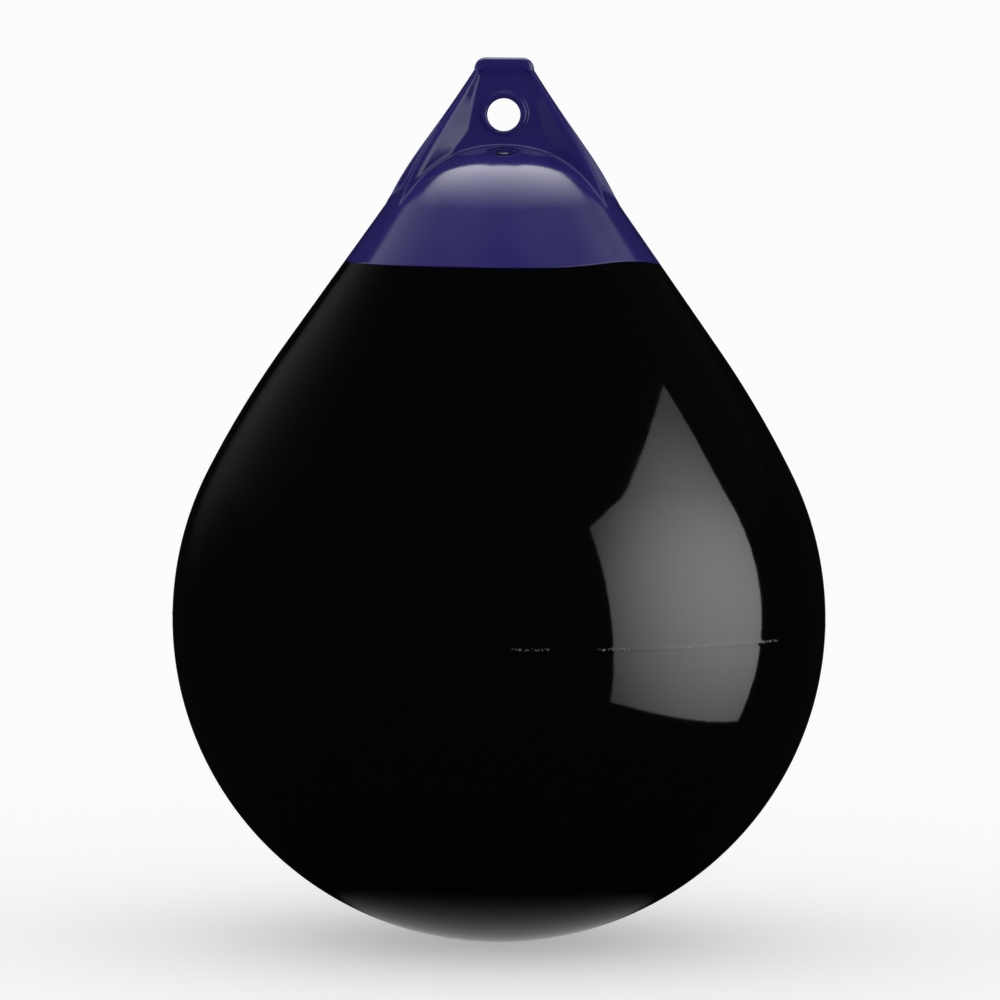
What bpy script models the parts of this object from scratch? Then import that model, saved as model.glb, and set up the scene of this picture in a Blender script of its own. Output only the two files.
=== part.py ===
"""Inflatable teardrop mooring buoy with a solid moulded rope head and a screw valve.

Metres, +Z up, the valve side faces -Y. The buoy's axis is the Z axis, and its bottom touches z = 0.
"""

import math

import bmesh
import bpy
import numpy as np
from mathutils import Vector

# Envelope: the outline from the bottom up is half an ellipse, a ball arc, a shoulder arc and a cone
BELLY_RADIUS = 0.260
BOTTOM_DEPTH = 0.2575
BALL_SLOPE = math.radians(26.7)
SHOULDER_RADIUS = 0.783
CONE_SLOPE = math.radians(35.2)
BODY_WALL = 0.0042

# Joint between the envelope and the head: a lip outside, a tongue inside, below where the dome ends
SKIRT_DEPTH = 0.0453
LIP_WALL = 0.0020
LAP_LENGTH = 0.022

# Head: a ball cap that runs into the cone, with a web and four ribs under a crown
DOME_RADIUS = 0.115
HEAD_WALL = 0.008
CROWN_RISE = 0.0686
CROWN_HEIGHT = 0.0105
CROWN_HALF_WIDTH = 0.0237
CROWN_DEPTH = 0.0225
CROWN_CORNER = 0.006
CROWN_EDGE = 0.0022
CROWN_OVERHANG = 0.0006
WEB_THICKNESS = 0.014
WEB_EDGE_ROUND = 0.003
WEB_BULGE = 0.0028
FLARE_RISE = 0.013
FLARE_SLOPE = math.radians(26)
RIB_FOOT_DROP = 0.045
RIB_FOOT_DEPTH = 0.043
RIB_TOP_WIDTH = 0.0030
RIB_FOOT_WIDTH = 0.0050
RIB_TOP_INSET = 0.0010
RIB_FOOT_INSET = 0.0097
RIB_DRAFT = 0.0003
PANEL_FOOT_HALF_WIDTH = 0.0375

# Rope eye
EYE_RISE = 0.0235
EYE_RADIUS = 0.0131
EYE_RING_RADIUS = 0.0179
EYE_RING_PROUD = 0.0032
EYE_RING_RISE = 0.0020

# Valve: its axis points at the centre of the dome's ball
VALVE_SLOPE = math.radians(14.1)
RECESS_MOUTH_RADIUS = 0.0135
RECESS_FLOOR_RADIUS = 0.0105
RECESS_DEPTH = 0.0030
BOSS_RADIUS = 0.0140
BOSS_LENGTH = 0.026
BUSH_FLANGE_RADIUS = 0.0095
BUSH_FLANGE_THICKNESS = 0.0015
BUSH_RADIUS = 0.0070
BUSH_STAND_OUT = 0.002
SCREW_RADIUS = 0.0030
SCREW_LENGTH = 0.0200
SCREW_HEAD_RADIUS = 0.0052
SCREW_HEAD_THICKNESS = 0.0025
SCREW_HEAD_EDGE = 0.0005
SCREW_HEAD_CLEARANCE = 0.0006
SLOT_WIDTH = 0.0014
SLOT_DEPTH = 0.0012
SEAL_CORD_RADIUS = 0.0009

# Fits and facets
GAP = 0.0003
REACH = 0.010
BODY_FACETS = 64
SMALL_FACETS = 24
EYE_FACETS = 32
SEAL_FACETS = 8
RIB_STATIONS = 12
ARC_STEP = math.radians(8)
SMALL_ARC_STEP = math.radians(30)
SHARP_ANGLE = math.radians(32)


def arc(centre, radius_r, radius_z, start, end, step=ARC_STEP):
    """Points on an ellipse's arc: centre plus (radius_r cos a, radius_z sin a), from start to end."""
    steps = max(2, math.ceil(abs(end - start) / step))
    angles = np.linspace(start, end, steps + 1)
    return [(centre[0] + radius_r * math.cos(a), centre[1] + radius_z * math.sin(a)) for a in angles]


def shoulder_centre():
    """The shoulder arc's centre, which makes it tangent to the ball at BALL_SLOPE."""
    back = BELLY_RADIUS - SHOULDER_RADIUS
    return back * math.cos(BALL_SLOPE), BOTTOM_DEPTH + back * math.sin(BALL_SLOPE)


def cone_start():
    """Where the shoulder arc ends and the straight cone begins."""
    r, z = shoulder_centre()
    return r + SHOULDER_RADIUS * math.cos(CONE_SLOPE), z + SHOULDER_RADIUS * math.sin(CONE_SLOPE)


def cone_radius(z):
    """The cone's radius at a height, which also holds for its straight run above the dome."""
    r, start = cone_start()
    return r - (z - start) * math.tan(CONE_SLOPE)


def cone_point(z, inset, along=0.0):
    """A point inset at right angles from the cone's surface at a height, then moved up the slope."""
    return (
        cone_radius(z) - inset * math.cos(CONE_SLOPE) - along * math.sin(CONE_SLOPE),
        z - inset * math.sin(CONE_SLOPE) + along * math.cos(CONE_SLOPE),
    )


def dome_centre_z():
    """The height of the dome's ball, which touches the cone all round."""
    r, start = cone_start()
    touch = start + (r - DOME_RADIUS * math.cos(CONE_SLOPE)) / math.tan(CONE_SLOPE)
    return touch - DOME_RADIUS * math.sin(CONE_SLOPE)


def colour_line_z():
    """The height of the seam between the envelope and the head."""
    return dome_centre_z() + DOME_RADIUS * math.sin(CONE_SLOPE) - SKIRT_DEPTH


def dome_top_z():
    """The height of the dome's top, which the crown, the eye and the web's flare are set above."""
    return dome_centre_z() + DOME_RADIUS


def crown_top_z():
    """The height of the crown's flat top."""
    return dome_top_z() + CROWN_RISE


def crown_foot_z():
    """The height of the crown's underside, where the web and the ribs begin."""
    return crown_top_z() - CROWN_HEIGHT


def rib_foot_z():
    """The height at which the ribs and the web's edges run into the cone."""
    return dome_top_z() - RIB_FOOT_DROP


def envelope_points(inset):
    """The envelope's outline from the bottom pole up to the cone, moved inwards by a wall."""
    centre = (0.0, BOTTOM_DEPTH)
    lower = arc(centre, BELLY_RADIUS - inset, BOTTOM_DEPTH - inset, -math.pi / 2, 0.0)
    ball = arc(centre, BELLY_RADIUS - inset, BELLY_RADIUS - inset, 0.0, BALL_SLOPE)
    radius = SHOULDER_RADIUS - inset
    shoulder = arc(shoulder_centre(), radius, radius, BALL_SLOPE, CONE_SLOPE)
    return lower[:-1] + ball[:-1] + shoulder


def small_round(centre, radius, start, end):
    """Points on the arc of a small fillet or rounded edge, with fewer facets than the main form."""
    return arc(centre, radius, radius, start, end, SMALL_ARC_STEP)


def material(name, colour, roughness, metallic=0.0):
    """A Principled material with one colour."""
    made = bpy.data.materials.new(name)
    made.use_nodes = True
    shader = made.node_tree.nodes["Principled BSDF"]
    shader.inputs["Base Color"].default_value = (*colour, 1.0)
    shader.inputs["Roughness"].default_value = roughness
    shader.inputs["Metallic"].default_value = metallic
    return made


def mesh_object(name, mesh_edit, finish=None):
    """An object from a bmesh, with faces pointing out and round stretches shaded smooth."""
    bmesh.ops.recalc_face_normals(mesh_edit, faces=mesh_edit.faces[:])
    mesh = bpy.data.meshes.new(name)
    mesh_edit.to_mesh(mesh)
    mesh_edit.free()
    mesh.shade_smooth()
    mesh.set_sharp_from_angle(angle=SHARP_ANGLE)
    if finish:
        mesh.materials.append(finish)
    made = bpy.data.objects.new(name, mesh)
    bpy.context.collection.objects.link(made)
    return made


def turned(name, profile, facets, finish=None):
    """A solid of revolution about Z from a closed profile of (radius, height) points."""
    work = bmesh.new()
    verts = [work.verts.new((max(r, 0.0), 0.0, z)) for r, z in profile]
    edges = [work.edges.new(pair) for pair in zip(verts, verts[1:] + verts[:1])]
    bmesh.ops.spin(
        work,
        geom=verts + edges,
        cent=(0, 0, 0),
        axis=(0, 0, 1),
        angle=2 * math.pi,
        steps=facets,
        use_merge=True,
    )
    bmesh.ops.remove_doubles(work, verts=work.verts[:], dist=1e-6)
    bmesh.ops.dissolve_degenerate(work, edges=work.edges[:], dist=1e-7)
    return mesh_object(name, work, finish)


def lofted(name, sections, finish=None):
    """A solid through closed sections with the same number of points each, capped at both ends."""
    work = bmesh.new()
    rings = [[work.verts.new(point) for point in section] for section in sections]
    for low, high in zip(rings, rings[1:]):
        for i, corner in enumerate(low):
            after = (i + 1) % len(low)
            work.faces.new((corner, low[after], high[after], high[i]))
    work.faces.new(rings[0])
    work.faces.new(rings[-1])
    return mesh_object(name, work, finish)


def guide(tool):
    """Marks an object as a cutter or a joining shape, which isn't part of the buoy."""
    tool.hide_render = True
    tool.display_type = "WIRE"
    return tool


def combine(target, tool, operation):
    """Adds an exact Boolean with a guide object."""
    step = target.modifiers.new(tool.name, "BOOLEAN")
    step.operation = operation
    step.solver = "EXACT"
    step.object = guide(tool)


def on_valve_axis(piece):
    """Places a piece whose own z = 0 is the dome's surface, on the valve's axis."""
    out = Vector((0.0, -math.sin(VALVE_SLOPE), math.cos(VALVE_SLOPE)))
    piece.location = Vector((0.0, 0.0, dome_centre_z())) + out * DOME_RADIUS
    piece.rotation_euler = (VALVE_SLOPE, 0.0, 0.0)
    return piece


def body_shell(finish):
    """The blown envelope: one wall from the bottom up to the tongue inside the head's lip."""
    outer = envelope_points(0.0) + [cone_point(colour_line_z(), 0.0)]
    tongue = [
        cone_point(colour_line_z(), LIP_WALL + GAP),
        cone_point(colour_line_z(), LIP_WALL + GAP, LAP_LENGTH),
        cone_point(colour_line_z(), BODY_WALL, LAP_LENGTH),
    ]
    inner = envelope_points(BODY_WALL)[::-1]
    return turned("body_shell", outer + tongue + inner, BODY_FACETS, finish)


def head_block():
    """The head's outer form as a full solid: the dome, the cone below it and the lip's end face."""
    centre = (0.0, dome_centre_z())
    dome = arc(centre, DOME_RADIUS, DOME_RADIUS, math.pi / 2, CONE_SLOPE)
    rim = [cone_point(colour_line_z(), 0.0, GAP), cone_point(colour_line_z(), LIP_WALL, GAP)]
    return dome + rim + [(0.0, rim[-1][1])]


def head_hollow():
    """The space under the head: inside the lip, over the tongue, then the inside of the dome."""
    lip_top = LAP_LENGTH + GAP
    below = [cone_point(colour_line_z(), LIP_WALL, -REACH), cone_point(colour_line_z(), LIP_WALL, lip_top)]
    step = [cone_point(colour_line_z(), HEAD_WALL, lip_top)]
    inside = DOME_RADIUS - HEAD_WALL
    dome = arc((0.0, dome_centre_z()), inside, inside, CONE_SLOPE, math.pi / 2)
    return below + step + dome + [(0.0, below[0][1])]


def blend(top, foot, share):
    """A size between its value under the crown and its value at the ribs' feet."""
    return top + (foot - top) * share


def web_half_width(fall):
    """The web's reach, from the crown to the cone along a slightly bulged line; fall runs from 0 to 1."""
    bulge = WEB_BULGE * math.sin(math.pi * fall**2)
    return blend(CROWN_HALF_WIDTH, cone_radius(rib_foot_z()), fall) + bulge


def rib_section(z):
    """The web and its four ribs cut level at a height, as a closed outline of (x, y, z) points."""
    fall = (crown_foot_z() - z) / (crown_foot_z() - rib_foot_z())
    fall = min(max(fall, 0.0), 1.0)
    half_web = WEB_THICKNESS / 2
    flare = max(dome_top_z() + FLARE_RISE - z, 0.0) * math.tan(FLARE_SLOPE)
    depth = blend(CROWN_DEPTH / 2, RIB_FOOT_DEPTH, fall)
    edge = web_half_width(fall)
    crest_out = edge - blend(RIB_TOP_INSET, RIB_FOOT_INSET, fall**1.5)
    crest_in = crest_out - blend(RIB_TOP_WIDTH, RIB_FOOT_WIDTH, fall)
    panel_top = CROWN_HALF_WIDTH - RIB_TOP_INSET - RIB_TOP_WIDTH - RIB_DRAFT
    panel = blend(panel_top, PANEL_FOOT_HALF_WIDTH, fall)
    pocket = crest_out + (edge - crest_out) / 3
    quarter = [
        (panel, min(half_web + flare, depth - WEB_EDGE_ROUND)),
        (crest_in, depth),
        (crest_out, depth),
        (pocket, half_web),
        (edge - (edge - pocket) / 3, half_web),
        (edge, half_web - WEB_EDGE_ROUND),
    ]
    front_right = [(x, -y, z) for x, y in quarter]
    back_right = [(x, y, z) for x, y in reversed(quarter)]
    back_left = [(-x, y, z) for x, y in quarter]
    front_left = [(-x, -y, z) for x, y in reversed(quarter)]
    return front_right + back_right + back_left + front_left


def web_and_ribs():
    """The web in the XZ plane with two ribs on each side, from inside the dome's wall to the crown."""
    heights = list(np.linspace(rib_foot_z(), crown_foot_z(), RIB_STATIONS))
    heights = [rib_foot_z() - REACH] + heights + [crown_foot_z() + CROWN_EDGE]
    return lofted("web_and_ribs", [rib_section(z) for z in heights])


def crown():
    """The slab on top of the ribs: its front outline, with round upper corners, carried along Y."""
    low = CROWN_HALF_WIDTH + CROWN_OVERHANG
    shoulder_z = crown_top_z() - CROWN_CORNER
    high = low - (shoulder_z - crown_foot_z()) * math.tan(CONE_SLOPE)
    corner = small_round((high - CROWN_CORNER, shoulder_z), CROWN_CORNER, 0.0, math.pi / 2)
    right = [(low, crown_foot_z())] + corner
    outline = right + [(-x, z) for x, z in reversed(right)]
    half = CROWN_DEPTH / 2 + CROWN_OVERHANG
    sections = [[(x, y, z) for x, z in outline] for y in (-half, half)]
    made = lofted("crown", sections)
    bevel = made.modifiers.new("edges", "BEVEL")
    bevel.width = CROWN_EDGE
    bevel.segments = 2
    bevel.limit_method = "ANGLE"
    bevel.angle_limit = math.radians(60)
    return made


def eye_ring():
    """The raised round ring about the eye, on both faces of the web, as one turned barrel."""
    half = WEB_THICKNESS / 2 + EYE_RING_PROUD
    fillet = EYE_RING_PROUD
    side = small_round((EYE_RING_RADIUS - fillet, half - fillet), fillet, 0.0, math.pi / 2)
    mirrored = [(r, -z) for r, z in reversed(side)]
    made = turned("eye_ring", [(0.0, -half)] + mirrored + side + [(0.0, half)], EYE_FACETS)
    made.location = (0.0, 0.0, dome_top_z() + EYE_RISE + EYE_RING_RISE)
    made.rotation_euler = (math.pi / 2, 0.0, 0.0)
    return made


def eye_bore():
    """The eye's hole with its round lips, cut through the rings and the web."""
    half = WEB_THICKNESS / 2 + EYE_RING_PROUD
    lip = EYE_RING_PROUD / 2
    mouth = small_round((EYE_RADIUS + lip, half - lip), lip, math.pi, math.pi / 2)
    flare = [(EYE_RADIUS + lip, half + REACH)]
    upper = mouth + flare
    lower = [(r, -z) for r, z in reversed(upper)]
    made = turned("eye_bore", [(0.0, -half - REACH)] + lower + upper + [(0.0, half + REACH)], EYE_FACETS)
    made.location = (0.0, 0.0, dome_top_z() + EYE_RISE)
    made.rotation_euler = (math.pi / 2, 0.0, 0.0)
    return made


def flange_seat():
    """The level under the bush's flange, below the dome's surface."""
    return -RECESS_DEPTH - BUSH_FLANGE_THICKNESS


def seal_floor():
    """The level of the bush's inner step, which the seal lies on."""
    return screw_head_base() - 2 * SEAL_CORD_RADIUS - 2 * GAP


def screw_head_base():
    """The level of the underside of the screw's head, flush with the bush's face and lower."""
    return -RECESS_DEPTH - SCREW_HEAD_THICKNESS / 2


def boss():
    """The thick pad under the dome that holds the bush."""
    profile = [(0.0, -BOSS_LENGTH), (BOSS_RADIUS, -BOSS_LENGTH), (BOSS_RADIUS, -HEAD_WALL / 2)]
    return on_valve_axis(turned("boss", profile + [(0.0, -HEAD_WALL / 2)], SMALL_FACETS))


def valve_cut():
    """The dished recess in the dome, with the bush's seat and bore below it."""
    profile = [
        (0.0, -BOSS_LENGTH - REACH),
        (BUSH_RADIUS + GAP, -BOSS_LENGTH - REACH),
        (BUSH_RADIUS + GAP, flange_seat() - GAP),
        (BUSH_FLANGE_RADIUS + GAP, flange_seat() - GAP),
        (BUSH_FLANGE_RADIUS + GAP, -RECESS_DEPTH),
        (RECESS_FLOOR_RADIUS, -RECESS_DEPTH),
        (RECESS_MOUTH_RADIUS, 0.0),
        (RECESS_MOUTH_RADIUS, REACH / 2),
        (0.0, REACH / 2),
    ]
    return on_valve_axis(turned("valve_cut", profile, SMALL_FACETS))


def rope_head(finish):
    """The solid moulded head: dome, web, ribs, crown and eye rings, hollow below, bored for the valve."""
    made = turned("rope_head", head_block(), BODY_FACETS, finish)
    combine(made, web_and_ribs(), "UNION")
    combine(made, crown(), "UNION")
    combine(made, eye_ring(), "UNION")
    combine(made, turned("head_hollow", head_hollow(), BODY_FACETS), "DIFFERENCE")
    combine(made, eye_bore(), "DIFFERENCE")
    combine(made, boss(), "UNION")
    combine(made, valve_cut(), "DIFFERENCE")
    return made


def valve_bush(finish):
    """The flanged bush in the dome: its mouth takes the screw's head and seal, its bore the thread."""
    foot = -BOSS_LENGTH - BUSH_STAND_OUT
    mouth = SCREW_HEAD_RADIUS + SCREW_HEAD_CLEARANCE
    bore = SCREW_RADIUS + GAP
    profile = [
        (bore, foot),
        (BUSH_RADIUS, foot),
        (BUSH_RADIUS, flange_seat()),
        (BUSH_FLANGE_RADIUS, flange_seat()),
        (BUSH_FLANGE_RADIUS, -RECESS_DEPTH),
        (mouth, -RECESS_DEPTH),
        (mouth, seal_floor()),
        (bore, seal_floor()),
    ]
    return on_valve_axis(turned("valve_bush", profile, SMALL_FACETS, finish))


def valve_screw(finish):
    """The closing screw: a slotted round head and a shank, whose thread is too fine to cut here."""
    base = screw_head_base()
    top = base + SCREW_HEAD_THICKNESS
    tip = base - SCREW_LENGTH
    profile = [
        (0.0, tip),
        (SCREW_RADIUS / 2, tip),
        (SCREW_RADIUS, tip + SCREW_RADIUS / 2),
        (SCREW_RADIUS, base),
        (SCREW_HEAD_RADIUS, base),
        (SCREW_HEAD_RADIUS, top - SCREW_HEAD_EDGE),
        (SCREW_HEAD_RADIUS - SCREW_HEAD_EDGE, top),
        (0.0, top),
    ]
    made = on_valve_axis(turned("valve_screw", profile, SMALL_FACETS, finish))
    half = SCREW_HEAD_RADIUS + REACH
    blade = [(-half, -SLOT_WIDTH / 2), (half, -SLOT_WIDTH / 2), (half, SLOT_WIDTH / 2), (-half, SLOT_WIDTH / 2)]
    levels = (top - SLOT_DEPTH, top + REACH)
    slot = lofted("screw_slot", [[(x, y, z) for x, y in blade] for z in levels])
    combine(made, on_valve_axis(slot), "DIFFERENCE")
    return made


def valve_seal(finish):
    """The round sealing ring between the screw's head and the step in the bush."""
    ring_radius = SCREW_RADIUS + GAP + SEAL_CORD_RADIUS
    level = seal_floor() + GAP + SEAL_CORD_RADIUS
    angles = np.linspace(0.0, 2 * math.pi, SEAL_FACETS, endpoint=False)
    profile = [
        (ring_radius + SEAL_CORD_RADIUS * math.cos(a), level + SEAL_CORD_RADIUS * math.sin(a))
        for a in angles
    ]
    return on_valve_axis(turned("valve_seal", profile, SMALL_FACETS, finish))


for old in list(bpy.data.objects):
    bpy.data.objects.remove(old, do_unlink=True)

black_vinyl = material("black_vinyl", (0.004, 0.004, 0.004), 0.12)
blue_vinyl = material("blue_vinyl", (0.022, 0.018, 0.130), 0.15)
blue_nylon = material("blue_nylon", (0.026, 0.022, 0.140), 0.35)
dark_rubber = material("dark_rubber", (0.012, 0.012, 0.012), 0.70)

body_shell(black_vinyl)
rope_head(blue_vinyl)
valve_bush(blue_nylon)
valve_seal(dark_rubber)
valve_screw(blue_nylon)
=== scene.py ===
"""Looks for the inflatable mooring buoy: body skin, rope head, filling valve, and a plain studio.

Metres, +Z up, the valve side faces -Y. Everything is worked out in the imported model's own frame.
"""

import math

import bmesh
import bpy
import numpy as np
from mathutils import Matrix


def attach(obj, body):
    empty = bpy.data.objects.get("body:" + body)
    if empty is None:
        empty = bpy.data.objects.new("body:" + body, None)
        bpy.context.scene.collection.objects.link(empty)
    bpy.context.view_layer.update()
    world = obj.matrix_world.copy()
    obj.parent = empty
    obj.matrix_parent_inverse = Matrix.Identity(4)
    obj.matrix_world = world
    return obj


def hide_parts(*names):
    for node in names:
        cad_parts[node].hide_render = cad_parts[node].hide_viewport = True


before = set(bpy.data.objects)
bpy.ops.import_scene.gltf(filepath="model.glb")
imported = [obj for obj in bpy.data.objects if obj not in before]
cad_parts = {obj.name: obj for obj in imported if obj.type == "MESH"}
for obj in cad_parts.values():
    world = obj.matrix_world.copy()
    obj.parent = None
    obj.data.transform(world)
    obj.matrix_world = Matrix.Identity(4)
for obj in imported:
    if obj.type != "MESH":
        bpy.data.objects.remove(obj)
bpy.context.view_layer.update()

# ---------------------------------------------------------------------------------------------
# Body skin. One hollow bag of soft black vinyl, about 4 mm thick, turned in a polished two-part
# mould, so it has a mirror gloss and one fine seam round its belly. Its top edge is a thin
# tongue that is fused inside the lip of the head, along a colour line that isn't quite level.
# ---------------------------------------------------------------------------------------------

BELLY_RADIUS = 0.2596
BELLY_Z = 0.2575
BALL_SLOPE = math.radians(26.7)
SHOULDER_RADIUS = 0.783
CONE_SLOPE = math.radians(35.2)
BODY_WALL = 0.0042
COLOUR_LINE_Z = 0.5400
LIP_WALL = 0.0020
LAP_LENGTH = 0.022
# the gap between pieces that fit in each other
FIT = 0.0003
SEAM_HEIGHT = 0.0002
SEAM_WIDTH = 0.0013
SEAM_TILT = math.radians(0.55)
# where the seam is rubbed: degrees round from the front, and half the length
RUBBED_PLACES = ((5, 0.016), (20, 0.014), (34, 0.020), (54, 0.012), (140, 0.024), (235, 0.018))
BODY_COLUMNS = 360


def shoulder_arc():
    """The shoulder arc's centre, set so that the arc leaves the ball without a corner."""
    back = BELLY_RADIUS - SHOULDER_RADIUS
    return back * math.cos(BALL_SLOPE), BELLY_Z + back * math.sin(BALL_SLOPE)


def cone_radius(z):
    """The cone's radius at a height: its start less the climb times the tangent of its slope."""
    centre_r, centre_z = shoulder_arc()
    start = centre_z + SHOULDER_RADIUS * math.sin(CONE_SLOPE)
    return centre_r + SHOULDER_RADIUS * math.cos(CONE_SLOPE) - (z - start) * math.tan(CONE_SLOPE)


def colour_line(turn):
    """The colour line's height round the buoy: a level circle, a slow wave, and a hump beside a dip.

    The wave is a sine of three times the turn, and hump and dip are bell curves of the turn.
    """
    turn = np.angle(np.exp(1j * turn))
    wave = 0.0014 + 0.0003 * np.sin(3 * turn + 0.6)
    hump = 0.0042 * np.exp(-(((turn + 0.66) / 0.42) ** 2))
    dip = 0.0024 * np.exp(-(((turn - 0.05) / 0.30) ** 2))
    return COLOUR_LINE_Z + wave + hump - dip


def skin_profile(inset, rows):
    """The bag's outline moved in by a wall, as r and z: half an ellipse, a ball arc, a shoulder arc."""
    low = np.linspace(-math.pi / 2, 0.0, rows, endpoint=False)
    ball = np.linspace(0.0, BALL_SLOPE, rows // 4, endpoint=False)
    shoulder = np.linspace(BALL_SLOPE, CONE_SLOPE, rows // 5)
    centre_r, centre_z = shoulder_arc()
    r = np.concatenate([
        (BELLY_RADIUS - inset) * np.cos(low),
        (BELLY_RADIUS - inset) * np.cos(ball),
        centre_r + (SHOULDER_RADIUS - inset) * np.cos(shoulder),
    ])
    z = np.concatenate([
        BELLY_Z + (BELLY_Z - inset) * np.sin(low),
        BELLY_Z + (BELLY_RADIUS - inset) * np.sin(ball),
        centre_z + (SHOULDER_RADIUS - inset) * np.sin(shoulder),
    ])
    return r, z


def seam_rows(r, z):
    """Adds close rows at the belly, on its ellipse and ball, so that the seam's bead comes out round."""
    reach = np.linspace(-4.5, 4.5, 19) * SEAM_WIDTH * 1.6
    keep = np.abs(z - BELLY_Z) > np.abs(reach).max() + 0.002
    extra_r = np.where(
        reach < 0,
        BELLY_RADIUS * np.sqrt(1 - (reach / BELLY_Z) ** 2),
        np.sqrt(BELLY_RADIUS**2 - reach**2),
    )
    below = keep & (z < BELLY_Z)
    above = keep & (z > BELLY_Z)
    return (
        np.concatenate([r[below], extra_r, r[above]]),
        np.concatenate([z[below], BELLY_Z + reach, z[above]]),
    )


def grid_quads(rows, columns):
    """The quads between rows of points, each row joined to the next and round on itself."""
    row, column = np.meshgrid(np.arange(rows - 1), np.arange(columns), indexing="ij")
    after = (column + 1) % columns
    return np.stack([
        row * columns + column,
        row * columns + after,
        (row + 1) * columns + after,
        (row + 1) * columns + column,
    ], axis=-1).reshape(-1, 4)


def closed_rings(name, x, y, z, poles, place=None):
    """A closed mesh from rings of points.

    Poles at the middles of the end rings close it, or else the last ring joins the first. A
    function may then place the points elsewhere.
    """
    rows, columns = x.shape
    points = np.stack([x, y, z], axis=-1).reshape(-1, 3)
    faces = grid_quads(rows, columns).tolist()
    first = np.arange(columns)
    last = (rows - 1) * columns + first
    if poles:
        ends = [points[:columns].mean(axis=0)], [points[-columns:].mean(axis=0)]
        points = np.vstack([points, *ends])
        tip = len(points) - 2
        faces += np.stack([np.full(columns, tip), np.roll(first, -1), first], axis=-1).tolist()
        faces += np.stack([np.full(columns, tip + 1), last, np.roll(last, -1)], axis=-1).tolist()
    else:
        faces += np.stack([last, np.roll(last, -1), np.roll(first, -1), first], axis=-1).tolist()
    if place:
        points = place(points)
    mesh = bpy.data.meshes.new(name)
    mesh.from_pydata(points.tolist(), [], faces)
    return mesh


def finished(name, mesh, sharp=None):
    """An object from a mesh: faces turned outwards, shaded smooth, with corners kept above an angle."""
    work = bmesh.new()
    work.from_mesh(mesh)
    bmesh.ops.recalc_face_normals(work, faces=work.faces[:])
    work.to_mesh(mesh)
    work.free()
    mesh.shade_smooth()
    if sharp:
        mesh.set_sharp_from_angle(angle=sharp)
    made = bpy.data.objects.new(name, mesh)
    bpy.context.collection.objects.link(made)
    return made


def body_skin():
    """The bag turned about Z: outside, tongue and inside in one run of rings, from pole to pole.

    The rows above the shoulder run in even shares up to the wavy colour line, and the seam's bead
    adds a bell-shaped height to the rows near the belly.
    """
    turn = np.linspace(0, 2 * np.pi, BODY_COLUMNS, endpoint=False)
    line = colour_line(turn)
    r, z = seam_rows(*skin_profile(0.0, 112))
    r, z = r[1:], z[1:]
    share = np.linspace(0, 1, 16)[1:, None]
    cone_z = z[-1] + share * (line - z[-1])
    outer_z = np.vstack([np.repeat(z[:, None], BODY_COLUMNS, axis=1), cone_z])
    outer_r = np.vstack([np.repeat(r[:, None], BODY_COLUMNS, axis=1), cone_radius(cone_z)])
    seam_z = BELLY_Z - outer_r * np.cos(turn) * math.tan(SEAM_TILT)
    outer_r = outer_r + SEAM_HEIGHT * np.exp(-(((outer_z - seam_z) / SEAM_WIDTH) ** 2))
    cos, sin = math.cos(CONE_SLOPE), math.sin(CONE_SLOPE)
    inset = np.array([LIP_WALL + FIT, LIP_WALL + FIT, BODY_WALL])[:, None]
    along = np.array([0.0, LAP_LENGTH, LAP_LENGTH])[:, None]
    tongue_r = cone_radius(line) - inset * cos - along * sin
    tongue_z = line - inset * sin + along * cos
    inner_r, inner_z = skin_profile(BODY_WALL, 40)
    inner_r, inner_z = inner_r[:0:-1], inner_z[:0:-1]
    radius = np.vstack([outer_r, tongue_r, np.repeat(inner_r[:, None], BODY_COLUMNS, axis=1)])
    height = np.vstack([outer_z, tongue_z, np.repeat(inner_z[:, None], BODY_COLUMNS, axis=1)])
    mesh = closed_rings("body_skin", radius * np.cos(turn), radius * np.sin(turn), height, True)
    return finished("body_skin", mesh, math.radians(40))


def linear(colour):
    """An sRGB hex colour as linear red, green, blue and alpha."""
    parts = np.array([int(colour[i:i + 2], 16) / 255 for i in (1, 3, 5)])
    curve = np.where(parts > 0.04045, ((parts + 0.055) / 1.055) ** 2.4, parts / 12.92)
    return (*curve.tolist(), 1.0)


def node(tree, kind, values=None, links=None, **settings):
    """Adds a node: settings are its own, values go on its sockets, links come from other sockets."""
    made = tree.nodes.new(kind)
    for key, value in settings.items():
        setattr(made, key, value)
    for key, value in (values or {}).items():
        made.inputs[key].default_value = value
    for key, source in (links or {}).items():
        tree.links.new(source, made.inputs[key])
    return made


def new_material(name):
    """A material with an empty tree, its Principled shader and its output."""
    made = bpy.data.materials.new(name)
    made.use_nodes = True
    tree = made.node_tree
    tree.nodes.clear()
    shader = node(tree, "ShaderNodeBsdfPrincipled")
    node(tree, "ShaderNodeOutputMaterial", links={"Surface": shader.outputs["BSDF"]})
    return made, tree, shader


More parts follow.
